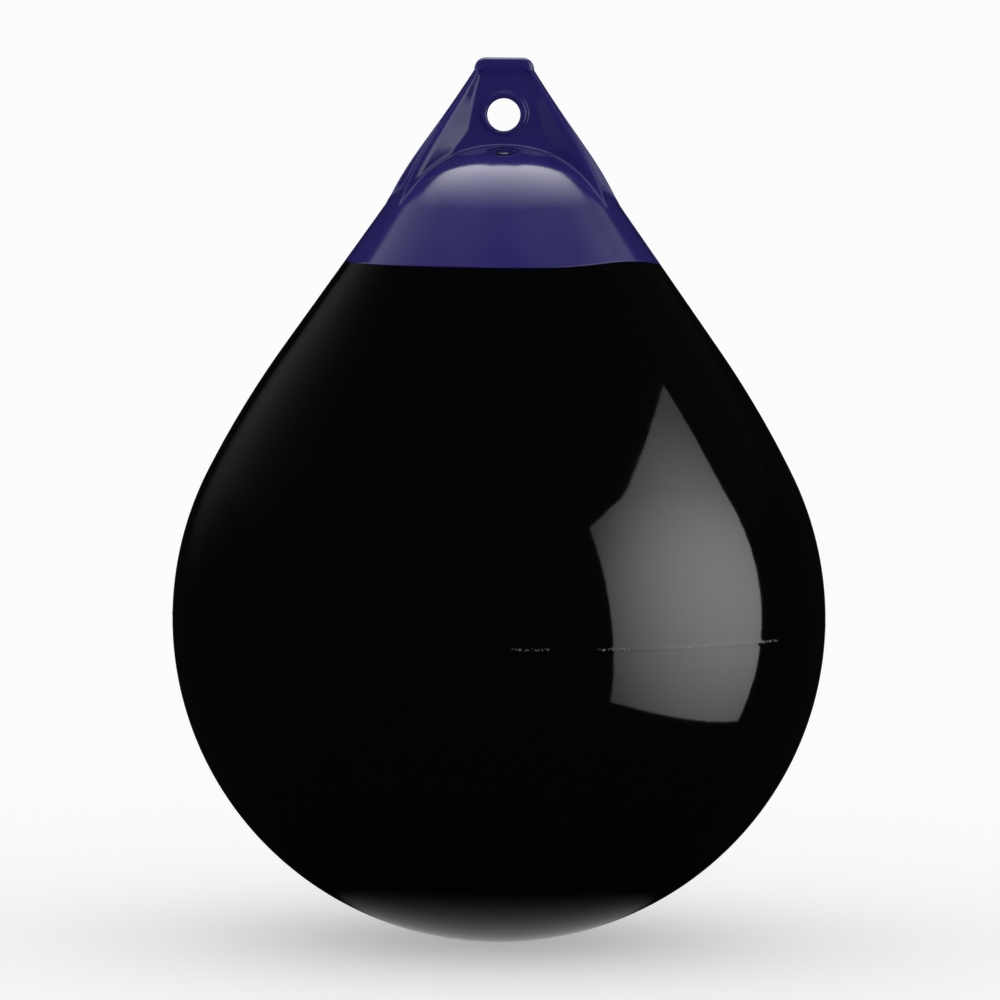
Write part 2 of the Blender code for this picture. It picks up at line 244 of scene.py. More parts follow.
def black_vinyl():
    """Soft PVC moulded against polished metal: near-black, mirror gloss, faint orange peel."""
    made, tree, shader = new_material("moulded_black_vinyl")
    shader.inputs["IOR"].default_value = 1.41
    place = node(tree, "ShaderNodeTexCoord").outputs["Object"]
    axes = node(tree, "ShaderNodeSeparateXYZ", links={"Vector": place})
    # the seam's height falls along X by its tilt
    level = node(tree, "ShaderNodeMath", {1: math.tan(SEAM_TILT), 2: -BELLY_Z},
                 {0: axes.outputs["X"]}, operation="MULTIPLY_ADD")
    off_seam = node(tree, "ShaderNodeMath", links={0: axes.outputs["Z"], 1: level.outputs[0]},
                    operation="ADD")
    near = node(tree, "ShaderNodeMath", {1: 0.0, 2: 0.0009}, {0: off_seam.outputs[0]},
                operation="COMPARE")
    # the seam is rubbed where the buoy leans on a hull, in specks of a millimetre or two
    speck = node(tree, "ShaderNodeTexNoise", {"Scale": 500.0, "Detail": 3.0}, {"Vector": place})
    patch = node(tree, "ShaderNodeMath", {1: 0.53}, {0: speck.outputs["Fac"]},
                 operation="GREATER_THAN")
    rubs = None
    for bearing, reach in RUBBED_PLACES:
        turn = math.radians(bearing)
        spot = (BELLY_RADIUS * math.sin(turn), -BELLY_RADIUS * math.cos(turn), BELLY_Z)
        away = node(tree, "ShaderNodeVectorMath", {1: spot}, {0: place}, operation="DISTANCE")
        rub = node(tree, "ShaderNodeMath", {1: reach}, {0: away.outputs["Value"]},
                   operation="LESS_THAN")
        rubs = rub if rubs is None else node(
            tree, "ShaderNodeMath", links={0: rubs.outputs[0], 1: rub.outputs[0]}, operation="MAXIMUM")
    patch = node(tree, "ShaderNodeMath", links={0: rubs.outputs[0], 1: patch.outputs[0]},
                 operation="MULTIPLY")
    scuff = node(tree, "ShaderNodeMath", links={0: patch.outputs[0], 1: near.outputs[0]},
                 operation="MULTIPLY")
    colour = node(tree, "ShaderNodeMix", {"A": linear("#060607"), "B": linear("#55555a")},
                  {"Factor": scuff.outputs[0]}, data_type="RGBA")
    tree.links.new(colour.outputs["Result"], shader.inputs["Base Color"])
    # handling leaves the gloss a little uneven over areas of 5 to 10 cm
    haze = node(tree, "ShaderNodeTexNoise", {"Scale": 11.0, "Detail": 4.0}, {"Vector": place})
    gloss = node(tree, "ShaderNodeMapRange", {"To Min": 0.035, "To Max": 0.075},
                 {"Value": haze.outputs["Fac"]})
    rough = node(tree, "ShaderNodeMath", {1: 0.45}, {0: scuff.outputs[0], 2: gloss.outputs[0]},
                 operation="MULTIPLY_ADD")
    tree.links.new(rough.outputs[0], shader.inputs["Roughness"])
    # orange peel of about 9 mm, a few microns deep
    peel = node(tree, "ShaderNodeTexNoise", {"Scale": 110.0, "Detail": 1.0}, {"Vector": place})
    bump = node(tree, "ShaderNodeBump", {"Strength": 0.12, "Distance": 0.0002},
                {"Height": peel.outputs["Fac"]})
    tree.links.new(bump.outputs["Normal"], shader.inputs["Normal"])
    return made


skin = body_skin()
skin.data.materials.append(black_vinyl())
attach(skin, "root")
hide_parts("body_shell")

# ---------------------------------------------------------------------------------------------
# Rope head. One solid moulding of dark blue vinyl: a ball cap that runs into the cone of the
# body, an upright web with a rope eye, four ribs that spread from under a flat crown down to the
# cap, and a dished seat for the valve. Its lip laps over the tongue of the body skin.
# ---------------------------------------------------------------------------------------------

DOME_RADIUS = 0.11407
DOME_CENTRE_Z = 0.51994
HEAD_WALL = 0.008
DOME_TOP_Z = DOME_CENTRE_Z + DOME_RADIUS
CROWN_TOP_Z = DOME_TOP_Z + 0.0686
CROWN_FOOT_Z = CROWN_TOP_Z - 0.0105
CROWN_HALF_WIDTH = 0.0237
CROWN_HALF_DEPTH = 0.01125
CROWN_CORNER = 0.0092
CROWN_EDGE = 0.0034
CROWN_FOOT_ROUND = 0.0018
# how much thinner the crown is at its foot, and how much wider than the ribs
CROWN_TAPER = 0.0022
CROWN_OVERHANG = 0.0006
WEB_HALF = 0.007
WEB_BULGE = 0.0028
WEB_EDGE_ROUND = 0.0030
# the web's foot flares out from this far above the cap's top, softly over the bend
FLARE_RISE = 0.015
FLARE_BEND = 0.004
FLARE_SLOPE = math.radians(38)
# the flare is strongest this far from the middle, and fades over the next stretch
FLARE_PEAK = 0.034
FLARE_FADE = 0.020
RIB_FOOT_Z = DOME_TOP_Z - 0.045
RIB_FOOT_DEPTH = 0.043
RIB_ROUND = 0.0024
ROOT_FILLET = 0.0019
EYE_Z = DOME_TOP_Z + 0.0235
EYE_RADIUS = 0.0131
EYE_RING_RADIUS = 0.0159
EYE_RING_ROUND = 0.0032
EYE_LIP = 0.0010
VALVE_SLOPE = math.radians(14.1)
VALVE_OUT = np.array([0.0, -math.sin(VALVE_SLOPE), math.cos(VALVE_SLOPE)])
# where the valve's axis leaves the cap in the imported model
VALVE_POINT = np.array([0.0, -0.028016, 0.630545])
RECESS_DEPTH = 0.0030
RECESS_FLOOR_RADIUS = 0.0105
RECESS_MOUTH_RADIUS = 0.0135
FLANGE_RADIUS = 0.0095
FLANGE_SEAT = -0.0045
BUSH_RADIUS = 0.0070
BOSS_RADIUS = 0.0140
BOSS_FOOT = -0.0260
NET_FLOOR_Z = 0.5780
NET_STEP = 0.00135
SKIRT_COLUMNS = 360


def round_both(a, b, radius):
    """The shape inside both a and b, with the edge between them rounded to a radius."""
    reach = np.hypot(np.maximum(a + radius, 0), np.maximum(b + radius, 0))
    return np.minimum(np.maximum(a, b), -radius) + reach


def round_either(a, b, radius):
    """The shape inside a or b, with a fillet of a radius where they meet."""
    reach = np.hypot(np.maximum(radius - a, 0), np.maximum(radius - b, 0))
    return np.maximum(np.minimum(a, b), radius) - reach


def ease(share):
    """A soft step from 0 to 1: the squared sine of a quarter turn times the share."""
    return np.sin(np.clip(share, 0, 1) * np.pi / 2) ** 2


def cap_depth(x, y, z, inset):
    """Signed distance to the cap moved in by a wall: a ball above its touching circle, a cone below."""
    r = np.hypot(x, y)
    up = z - DOME_CENTRE_Z
    ball = np.hypot(r, up) - (DOME_RADIUS - inset)
    cone = (r - cone_radius(z)) * math.cos(CONE_SLOPE) + inset
    return np.where(up > r * math.tan(CONE_SLOPE), ball, cone)


def web_and_ribs(x, y, z):
    """The web, a slab that widens downwards and flares at its foot, joined with four ribs.

    Each rib lies inside three lines at its height: the crest, an inner flank that starts at the
    panel beside the eye, and an outer flank that ends in the pocket near the web's edge. All of
    them run with the fall, which is 0 under the crown and 1 at the rib's foot.
    """
    fall = np.clip((CROWN_FOOT_Z - z) / (CROWN_FOOT_Z - RIB_FOOT_Z), 0, 1)
    edge = CROWN_HALF_WIDTH + (cone_radius(RIB_FOOT_Z) - CROWN_HALF_WIDTH) * fall
    edge = edge + WEB_BULGE * np.sin(np.pi * fall**2) - np.maximum(z - CROWN_FOOT_Z, 0)
    # the cosine of the edge's slope, which turns a level gap into a distance
    lean = 0.84
    crest_out = edge - (0.0010 + 0.0087 * fall**1.5)
    crest_in = crest_out - (0.0030 + 0.0020 * fall)
    depth = CROWN_HALF_DEPTH + (RIB_FOOT_DEPTH - CROWN_HALF_DEPTH) * fall**1.3
    panel = 0.0194 + 0.0181 * fall
    pocket = crest_out + (edge - crest_out) / 3
    spread = 0.45 + 0.22 * ease(x / FLARE_PEAK) - 0.25 * ease((x - FLARE_PEAK) / FLARE_FADE)
    drop = np.maximum(DOME_TOP_Z + FLARE_RISE - z, 0)
    flare = drop**2 / (drop + FLARE_BEND) * math.tan(FLARE_SLOPE) * spread
    floor = np.minimum(WEB_HALF + flare, depth - 0.002)
    web = round_both(y - WEB_HALF, (x - edge) * lean, WEB_EDGE_ROUND)
    swell = round_both(y - floor, x - (panel + crest_in) / 2, 0.002)
    start = WEB_HALF + 0.3 * (floor - WEB_HALF)
    run, rise = crest_in - panel, depth - start
    inner = (run * (y - start) - rise * (x - panel)) / np.hypot(run, rise)
    run, rise = pocket - crest_out, depth - WEB_HALF
    outer = (rise * (x - crest_out) + run * (y - depth)) / np.hypot(run, rise)
    crest_round = np.minimum(RIB_ROUND, 0.0013 + 0.0012 * fall)
    rib = round_both(round_both(y - depth, inner, crest_round), outer, crest_round)
    both = round_either(round_either(web, swell, 0.0015), rib, 0.0018)
    return np.maximum(both, z - CROWN_FOOT_Z - 0.002)


def crown_depth(x, y, z):
    """The crown: a slab whose ends round over in a wide arc to the flat top."""
    outline = round_both(x - CROWN_HALF_WIDTH, z - CROWN_TOP_Z, CROWN_CORNER)
    outline = round_both(outline, CROWN_FOOT_Z - z, CROWN_FOOT_ROUND)
    taper = CROWN_TAPER * np.clip((CROWN_TOP_Z - z) / (CROWN_TOP_Z - CROWN_FOOT_Z), 0, 1.3)
    return round_both(outline, y - CROWN_HALF_DEPTH - CROWN_OVERHANG + taper, CROWN_EDGE)


def head_depth(x, y, z):
    """Signed depth of the whole head: all that stands on the cap, then the hollow and the valve seat.

    The eye's ring is a torus on the web's face, a little flat. The boss and the dish are turned
    about the valve's axis, along which the height out of the cap is measured.
    """
    side, face = np.abs(x), np.abs(y)
    # the fillet under the crown is wide in the middle and narrow at the ribs
    cove = 0.0012 + 0.0040 * np.clip((0.022 - side) / 0.006, 0, 1)
    solid = round_either(web_and_ribs(side, face, z), crown_depth(side, face, z), cove)
    ring = np.hypot(x, (z - EYE_Z - 0.0012) * 1.05) - EYE_RING_RADIUS
    ring = np.hypot(ring, np.maximum(face - WEB_HALF, 0)) - EYE_RING_ROUND
    solid = round_either(solid, ring, 0.0010)
    solid = round_either(solid, cap_depth(x, y, z, 0.0), ROOT_FILLET)
    bore = np.hypot(x, z - EYE_Z) - EYE_RADIUS
    solid = round_both(solid, -bore, EYE_LIP)
    solid = np.maximum(solid, -cap_depth(x, y, z, HEAD_WALL))
    out = (y - VALVE_POINT[1]) * VALVE_OUT[1] + (z - VALVE_POINT[2]) * VALVE_OUT[2]
    across = (y - VALVE_POINT[1]) * VALVE_OUT[2] - (z - VALVE_POINT[2]) * VALVE_OUT[1]
    q = np.hypot(x, across)
    boss = round_both(q - BOSS_RADIUS, np.maximum(BOSS_FOOT - out, out + 0.004), 0.001)
    solid = round_either(solid, boss, 0.0015)
    slope = (RECESS_MOUTH_RADIUS - RECESS_FLOOR_RADIUS) / RECESS_DEPTH
    flank = (q - RECESS_MOUTH_RADIUS - np.minimum(out, 0) * slope) * 0.71
    dish = np.maximum(round_both(flank, -(out + RECESS_DEPTH), 0.0016), out - 0.005)
    return round_both(solid, -dish, 0.0009)


def head_net():
    """The head's upper part as a net of quads on a grid of cells.

    Each cell that the surface crosses gives one point, the mean of the crossings on its edges, and
    each crossed grid edge gives a quad between the four cells round it. The points are then moved
    along the depth's own slope onto the surface. The bottom stays open for the skirt.
    """
    reach = cone_radius(NET_FLOOR_Z) + 4 * NET_STEP
    side = np.arange(-reach, reach + NET_STEP, NET_STEP)
    up = np.arange(NET_FLOOR_Z, CROWN_TOP_Z + 3 * NET_STEP, NET_STEP)
    origin = np.array([side[0], side[0], up[0]])
    depth = head_depth(side[:, None, None], side[None, :, None], up[None, None, :])
    cells = tuple(n - 1 for n in depth.shape)
    total = np.zeros(cells + (3,))
    count = np.zeros(cells)
    quads = []
    for axis in range(3):
        first = np.take(depth, np.arange(depth.shape[axis] - 1), axis)
        second = np.take(depth, np.arange(1, depth.shape[axis]), axis)
        crossed = (first < 0) != (second < 0)
        where = np.stack(np.nonzero(crossed), axis=-1)
        share = first[crossed] / (first[crossed] - second[crossed])
        place = where.astype(float)
        place[:, axis] += share
        others = [a for a in range(3) if a != axis]
        round_cells = []
        for step_a, step_b in ((-1, -1), (0, -1), (0, 0), (-1, 0)):
            cell = where.copy()
            cell[:, others[0]] += step_a
            cell[:, others[1]] += step_b
            good = np.all((cell >= 0) & (cell < np.array(cells)), axis=1)
            np.add.at(total, tuple(cell[good].T), place[good])
            np.add.at(count, tuple(cell[good].T), 1)
            round_cells.append((cell, good))
        whole = np.logical_and.reduce([good for _, good in round_cells])
        quads.append([np.ravel_multi_index(tuple(cell[whole].T), cells) for cell, _ in round_cells])
    used = np.flatnonzero(count.ravel())
    number = np.full(count.size, -1)
    number[used] = np.arange(len(used))
    points = total.reshape(-1, 3)[used] / count.ravel()[used, None] * NET_STEP + origin
    faces = number[np.concatenate([np.stack(q, axis=-1) for q in quads])]
    small = 0.0001
    for _ in range(4):
        value = head_depth(*points.T)
        ahead = [head_depth(*(points + small * way).T) for way in np.eye(3)]
        behind = [head_depth(*(points - small * way).T) for way in np.eye(3)]
        slope = (np.stack(ahead, axis=-1) - np.stack(behind, axis=-1)) / (2 * small)
        move = slope * (value / np.maximum((slope**2).sum(axis=1), 0.05))[:, None]
        points = points - np.clip(move, -0.5 * NET_STEP, 0.5 * NET_STEP)
    return points, faces


def skirt_rings():
    """The head's lower part turned about Z: down the cone, round the lip, up inside to the net."""
    turn = np.linspace(0, 2 * np.pi, SKIRT_COLUMNS, endpoint=False)
    cos, sin = math.cos(CONE_SLOPE), math.sin(CONE_SLOPE)
    lip = colour_line(turn) + FIT * cos
    top = NET_FLOOR_Z - 0.0008
    share = np.append(np.linspace(0, 0.985, 14), 1.0)[:, None]
    lip_round = 0.0003
    outer_z = top + share * (lip + lip_round * cos - top)
    outer_r = cone_radius(outer_z)
    lap = np.array([0.0, LAP_LENGTH])[:, None]
    under = np.array([[lip_round], [LIP_WALL - lip_round / 2]])
    lip_r = cone_radius(lip) - under * cos
    lip_z = lip - under * sin
    inside_r = cone_radius(lip) - LIP_WALL * cos - (lap + FIT) * sin
    inside_z = lip - LIP_WALL * sin + (lap + FIT) * cos
    step_r = cone_radius(lip) - HEAD_WALL * cos - (LAP_LENGTH + FIT) * sin
    step_z = lip - HEAD_WALL * sin + (LAP_LENGTH + FIT) * cos
    inner_z = step_z + np.linspace(0, 1, 5)[1:, None] * (top - step_z)
    inner_r = cone_radius(inner_z) - HEAD_WALL / cos
    radius = np.vstack([outer_r, lip_r, inside_r, step_r[None, :], inner_r])
    height = np.vstack([outer_z, lip_z, inside_z, step_z[None, :], inner_z])
    points = np.stack([radius * np.cos(turn), radius * np.sin(turn), height], axis=-1)
    return points.reshape(-1, 3), grid_quads(len(radius), SKIRT_COLUMNS)


def on_valve(points):
    """Points given about the valve's own axis, with 0 at the cap's surface, placed on the buoy."""
    side, across = np.array([1.0, 0, 0]), np.array([0.0, VALVE_OUT[2], -VALVE_OUT[1]])
    return VALVE_POINT + points[:, :1] * side + points[:, 1:2] * across + points[:, 2:] * VALVE_OUT


def turned_on_valve(name, profile, columns, poles):
    """An outline of radius and height turned about the valve's axis."""
    profile = np.array(profile)
    turn = np.linspace(0, 2 * np.pi, columns, endpoint=False)
    radius = profile[:, :1]
    height = np.repeat(profile[:, 1:], columns, axis=1)
    x, y = radius * np.cos(turn), radius * np.sin(turn)
    return closed_rings(name, x, y, height, poles, on_valve)


def cut_away(target, tool):
    """Cuts one object out of another with an exact Boolean and keeps the result as the mesh."""
    step = target.modifiers.new("cut", "BOOLEAN")
    step.operation = "DIFFERENCE"
    step.solver = "EXACT"
    step.object = tool
    evaluated = target.evaluated_get(bpy.context.evaluated_depsgraph_get())
    result = bpy.data.meshes.new_from_object(evaluated)
    target.modifiers.remove(step)
    target.data = result
    bpy.data.objects.remove(tool)


def rope_head():
    """The net above and the turned skirt below, bridged round the outside and the inside."""
    net_points, net_faces = head_net()
    skirt_points, skirt_faces = skirt_rings()
    points = np.vstack([net_points, skirt_points])
    faces = net_faces.tolist() + (skirt_faces + len(net_points)).tolist()
    mesh = bpy.data.meshes.new("rope_head_skin")
    mesh.from_pydata(points.tolist(), [], faces)
    work = bmesh.new()
    work.from_mesh(mesh)
    open_edges = [e for e in work.edges if e.is_boundary]
    middle = cone_radius(NET_FLOOR_Z) - HEAD_WALL / 2 / math.cos(CONE_SLOPE)
    outside = [e for e in open_edges if math.hypot(*e.verts[0].co.xy) > middle]
    inside = [e for e in open_edges if math.hypot(*e.verts[0].co.xy) <= middle]
    bmesh.ops.bridge_loops(work, edges=outside)
    bmesh.ops.bridge_loops(work, edges=inside)
    work.to_mesh(mesh)
    work.free()
    return finished("rope_head_skin", mesh)


head = rope_head()
seat = turned_on_valve("valve_seat_cut", [
    (FLANGE_RADIUS + FIT / 3, 0.004),
    (FLANGE_RADIUS + FIT / 3, FLANGE_SEAT - FIT / 3),
    (BUSH_RADIUS + FIT, FLANGE_SEAT - FIT / 3),
    (BUSH_RADIUS + FIT, -0.040),
], 96, True)
cut_away(head, finished("valve_seat_cut", seat))
head.data.set_sharp_from_angle(angle=math.radians(48))


def blue_vinyl():
    """The same soft PVC in navy blue: high gloss, a slightly softer mirror than the black skin."""
    made, tree, shader = new_material("moulded_blue_vinyl")
    shader.inputs["IOR"].default_value = 1.5
    place = node(tree, "ShaderNodeTexCoord").outputs["Object"]
    # pigment clouds of about 3 cm, hardly visible
    cloud = node(tree, "ShaderNodeTexNoise", {"Scale": 30.0, "Detail": 3.0}, {"Vector": place})
    colour = node(tree, "ShaderNodeMix", {"A": linear("#2a2469"), "B": linear("#312b79")},
                  {"Factor": cloud.outputs["Fac"]}, data_type="RGBA")
    tree.links.new(colour.outputs["Result"], shader.inputs["Base Color"])
    gloss = node(tree, "ShaderNodeMapRange", {"To Min": 0.10, "To Max": 0.18},
                 {"Value": cloud.outputs["Fac"]})
    tree.links.new(gloss.outputs[0], shader.inputs["Roughness"])
    # mould texture of about 4 mm, a few microns deep
    peel = node(tree, "ShaderNodeTexNoise", {"Scale": 240.0, "Detail": 2.0}, {"Vector": place})
    bump = node(tree, "ShaderNodeBump", {"Strength": 0.15, "Distance": 0.0002},
                {"Height": peel.outputs["Fac"]})
    tree.links.new(bump.outputs["Normal"], shader.inputs["Normal"])
    return made


head.data.materials.append(blue_vinyl())
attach(head, "root")
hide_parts("rope_head")

# ---------------------------------------------------------------------------------------------
# Root beads. A fine raised line of the head's own vinyl, where two parts of the mould meet. On
# each side of the web it crosses the top of the cap in a short arch, just below the web's foot.
# ---------------------------------------------------------------------------------------------

BEAD_RADIUS = 0.0006
BEAD_REACH = 0.0190
BEAD_NEAR = 0.0165
BEAD_FAR = 0.0400
BEAD_BEND = 0.0155
BEAD_SINK = 0.0002


def root_bead(name, side):
    """A thin tube on the cap, which runs forward with the cube of its distance from the middle.

    With k the cube of x over the bend, y is near + (far - near) * k / (1 + k). The height is the
    ball's, and the tube's radius shrinks to nothing at both ends.
    """
    x = np.linspace(-BEAD_REACH, BEAD_REACH, 240)
    k = np.abs(x / BEAD_BEND) ** 3
    y = side * (BEAD_NEAR + (BEAD_FAR - BEAD_NEAR) * k / (1 + k))
    path = np.stack([x, y, np.sqrt(DOME_RADIUS**2 - x**2 - y**2)], axis=-1)
    out = path / DOME_RADIUS
    along = np.gradient(path, axis=0)
    along /= np.linalg.norm(along, axis=1)[:, None]
    across = np.cross(along, out)
    turn = np.linspace(0, 2 * np.pi, 10, endpoint=False)
    taper = BEAD_RADIUS * np.sqrt(np.maximum(1 - np.abs(x / BEAD_REACH) ** 24, 0.0004))
    ring = np.cos(turn)[None, :, None] * across[:, None] + np.sin(turn)[None, :, None] * out[:, None]
    middle = path[:, None] + (0, 0, DOME_CENTRE_Z)
    spot = middle + ring * taper[:, None, None] - out[:, None] * BEAD_SINK
    return finished(name, closed_rings(name, spot[..., 0], spot[..., 1], spot[..., 2], True))


for name, side in (("root_bead_front", -1), ("root_bead_back", 1)):
    bead = root_bead(name, side)
    bead.data.materials.append(head.data.materials[0])
    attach(bead, "root")
    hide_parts("rope_head")

# ---------------------------------------------------------------------------------------------
# Filling valve. A flanged nylon bush is fused into the dish of the head. A slotted nylon screw
# closes it, on a thread of 2 mm pitch, and squeezes a rubber ring against the bush's inner step.
# ---------------------------------------------------------------------------------------------

BUSH_FOOT = -0.0280
BUSH_MOUTH = 0.0058
BUSH_BORE = 0.0033
BUSH_STEP = -0.00665
SCREW_RADIUS = 0.0030
SCREW_TIP = -0.02425
SCREW_HEAD_BASE = -0.00425
SCREW_HEAD_TOP = -0.00175
SCREW_HEAD_RADIUS = 0.0052
THREAD_PITCH = 0.0020
THREAD_DEPTH = 0.00045
SLOT_HALF = 0.0007
SLOT_DEPTH = 0.0012
SCREW_COLUMNS = 64
SCREW_HEAD_ROUND = 0.0005
SEAL_CORD = 0.0009
SOFT_EDGE = 0.0003


def valve_screw():
    """The screw turned about the valve's axis: tip, threaded shank, and a head with a soft edge.

    On the shank the radius falls by the thread's depth and back once for each pitch of height,
    and the fall moves round with the turn, which makes it a helix.
    """
    shank = np.linspace(SCREW_TIP + 0.0012, SCREW_HEAD_BASE - 0.0006, 150)
    rim = np.linspace(0, math.pi / 2, 5)
    outline = np.vstack([
        [(SCREW_RADIUS * 0.55, SCREW_TIP)],
        np.stack([np.full(shank.shape, SCREW_RADIUS), shank], axis=-1),
        [(SCREW_RADIUS * 0.9, SCREW_HEAD_BASE), (SCREW_HEAD_RADIUS, SCREW_HEAD_BASE)],
        np.stack([
            SCREW_HEAD_RADIUS - SCREW_HEAD_ROUND + SCREW_HEAD_ROUND * np.cos(rim),
            SCREW_HEAD_TOP - SCREW_HEAD_ROUND + SCREW_HEAD_ROUND * np.sin(rim),
        ], axis=-1),
    ])
    turn = np.linspace(0, 2 * np.pi, SCREW_COLUMNS, endpoint=False)
    radius = np.repeat(outline[:, :1], SCREW_COLUMNS, axis=1)
    height = np.repeat(outline[:, 1:], SCREW_COLUMNS, axis=1)
    wave = 0.5 - 0.5 * np.cos(2 * np.pi * height / THREAD_PITCH - turn)
    run_in = np.clip((height - SCREW_TIP) / 0.002, 0, 1)
    run_out = np.clip((SCREW_HEAD_BASE - 0.001 - height) / 0.001, 0, 1)
    on_shank = (radius > SCREW_RADIUS * 0.95) & (radius < SCREW_RADIUS * 1.05)
    radius = radius - THREAD_DEPTH * wave * run_in * run_out * on_shank
    x, y = radius * np.cos(turn), radius * np.sin(turn)
    mesh = closed_rings("valve_screw_thread", x, y, height, True, on_valve)
    made = finished("valve_screw_thread", mesh)
    reach = SCREW_HEAD_RADIUS + 0.002
    corners = np.array([(x, y, z) for x in (-reach, reach) for y in (-SLOT_HALF, SLOT_HALF)
                        for z in (SCREW_HEAD_TOP - SLOT_DEPTH, SCREW_HEAD_TOP + 0.002)])
    blade = bpy.data.meshes.new("screw_slot_cut")
    blade.from_pydata(on_valve(corners).tolist(), [], [
        (0, 1, 3, 2), (4, 6, 7, 5), (0, 4, 5, 1), (2, 3, 7, 6), (0, 2, 6, 4), (1, 5, 7, 3)])
    cut_away(made, finished("screw_slot_cut", blade))
    made.data.set_sharp_from_angle(angle=math.radians(35))
    return made


def shaded_satin_nylon():
    """Injection-moulded navy nylon, satin, less glossy than the vinyl, its blue darker than the head's
    as painted shade of the valve's dish.
    """
    made, tree, shader = new_material("moulded_blue_nylon_painted_shade")
    shader.inputs["IOR"].default_value = 1.53
    shader.inputs["Roughness"].default_value = 0.22
    # this blue is darker than the head's: painted shade, so that the valve's dish reads dark
    shader.inputs["Base Color"].default_value = linear("#1f1b4e")
    place = node(tree, "ShaderNodeTexCoord").outputs["Object"]
    # flow marks of about 1 mm
    grain = node(tree, "ShaderNodeTexNoise", {"Scale": 900.0, "Detail": 2.0}, {"Vector": place})
    bump = node(tree, "ShaderNodeBump", {"Strength": 0.2, "Distance": 0.00005},
                {"Height": grain.outputs["Fac"]})
    tree.links.new(bump.outputs["Normal"], shader.inputs["Normal"])
    return made


def seal_rubber():
    """Nitrile rubber, moulded as a ring: dull black with a dry bloom in specks under a millimetre."""
    made, tree, shader = new_material("nitrile_rubber")
    shader.inputs["IOR"].default_value = 1.52
    place = node(tree, "ShaderNodeTexCoord").outputs["Object"]
    bloom = node(tree, "ShaderNodeTexNoise", {"Scale": 1500.0, "Detail": 2.0}, {"Vector": place})
    colour = node(tree, "ShaderNodeMix", {"A": linear("#141414"), "B": linear("#222222")},
                  {"Factor": bloom.outputs["Fac"]}, data_type="RGBA")
    tree.links.new(colour.outputs["Result"], shader.inputs["Base Color"])
    shader.inputs["Roughness"].default_value = 0.62
    return made


nylon = shaded_satin_nylon()
bush = finished("valve_bush_turned", turned_on_valve("valve_bush_turned", [
    (BUSH_BORE, BUSH_FOOT),
    (BUSH_RADIUS - SOFT_EDGE, BUSH_FOOT),
    (BUSH_RADIUS, BUSH_FOOT + SOFT_EDGE),
    (BUSH_RADIUS, FLANGE_SEAT),
    (FLANGE_RADIUS, FLANGE_SEAT),
    (FLANGE_RADIUS, -RECESS_DEPTH - SOFT_EDGE),
    (FLANGE_RADIUS - SOFT_EDGE * 0.3, -RECESS_DEPTH - SOFT_EDGE * 0.3),
    (FLANGE_RADIUS - SOFT_EDGE, -RECESS_DEPTH),
    (BUSH_MOUTH + SOFT_EDGE, -RECESS_DEPTH),
    (BUSH_MOUTH + SOFT_EDGE * 0.3, -RECESS_DEPTH - SOFT_EDGE * 0.3),
    (BUSH_MOUTH, -RECESS_DEPTH - SOFT_EDGE),
    (BUSH_MOUTH, BUSH_STEP),
    (BUSH_BORE, BUSH_STEP),
], 96, False), math.radians(50))
bush.data.materials.append(nylon)
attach(bush, "root")
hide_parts("valve_bush")

screw = valve_screw()
screw.data.materials.append(nylon)
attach(screw, "screw")
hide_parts("valve_screw")

cord = np.linspace(0, 2 * np.pi, 20, endpoint=False)
seal = finished("valve_seal_ring", turned_on_valve("valve_seal_ring", np.stack([
    SCREW_RADIUS + FIT + SEAL_CORD + SEAL_CORD * np.cos(cord),
    BUSH_STEP + FIT + SEAL_CORD + SEAL_CORD * np.sin(cord),
], axis=-1), 64, False))
seal.data.materials.append(seal_rubber())
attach(seal, "seal_carrier")
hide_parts("valve_seal")

# ---------------------------------------------------------------------------------------------
# Plain studio. A wide pale floor in a dark room, with softboxes that the camera doesn't see: an
# upright one close by on the right, a broad one above and behind, and weak ones on both sides.
# ---------------------------------------------------------------------------------------------

VELVET_RADII = (0.04, 0.15, 3.00, 3.40)
VELVET_HEIGHTS = (0.002, 0.003, 0.003, 1.300)
FLOOR_RADIUS = 400.0
ROUND_COLUMNS = 96


def receivers(name, pieces):
    """A collection of the pieces that a softbox lights."""
    made = bpy.data.collections.new(name)
    for piece in pieces:
        made.objects.link(piece)
    return made


def stage_object(name, paint_name, points, faces):
    """An object of the studio and the empty node tree of its material."""
    mesh = bpy.data.meshes.new(name)
    mesh.from_pydata(points, [], faces)
    made = bpy.data.objects.new(name, mesh)
    bpy.context.collection.objects.link(made)
    paint = bpy.data.materials.new(paint_name)
    paint.use_nodes = True
    paint.node_tree.nodes.clear()
    mesh.materials.append(paint)
    return made, paint.node_tree


def only_mirrored(made):
    """Leaves an object to mirror reflections: the camera and the soft light don't see it."""
    made.visible_camera = False
    made.visible_shadow = False
    made.visible_diffuse = False


def glow_sheet(name, corners, strength_node, lit):
    """A flat light that only mirror reflections see and that other light passes through."""
    made, tree = stage_object(name, name, corners, [tuple(range(len(corners)))])
    only_mirrored(made)
    made.light_linking.receiver_collection = lit
    light = node(tree, "ShaderNodeEmission", links={"Strength": strength_node(tree)})
    clear = node(tree, "ShaderNodeBsdfTransparent")
    both = node(tree, "ShaderNodeAddShader", links={0: light.outputs[0], 1: clear.outputs[0]})
    node(tree, "ShaderNodeOutputMaterial", links={"Surface": both.outputs[0]})


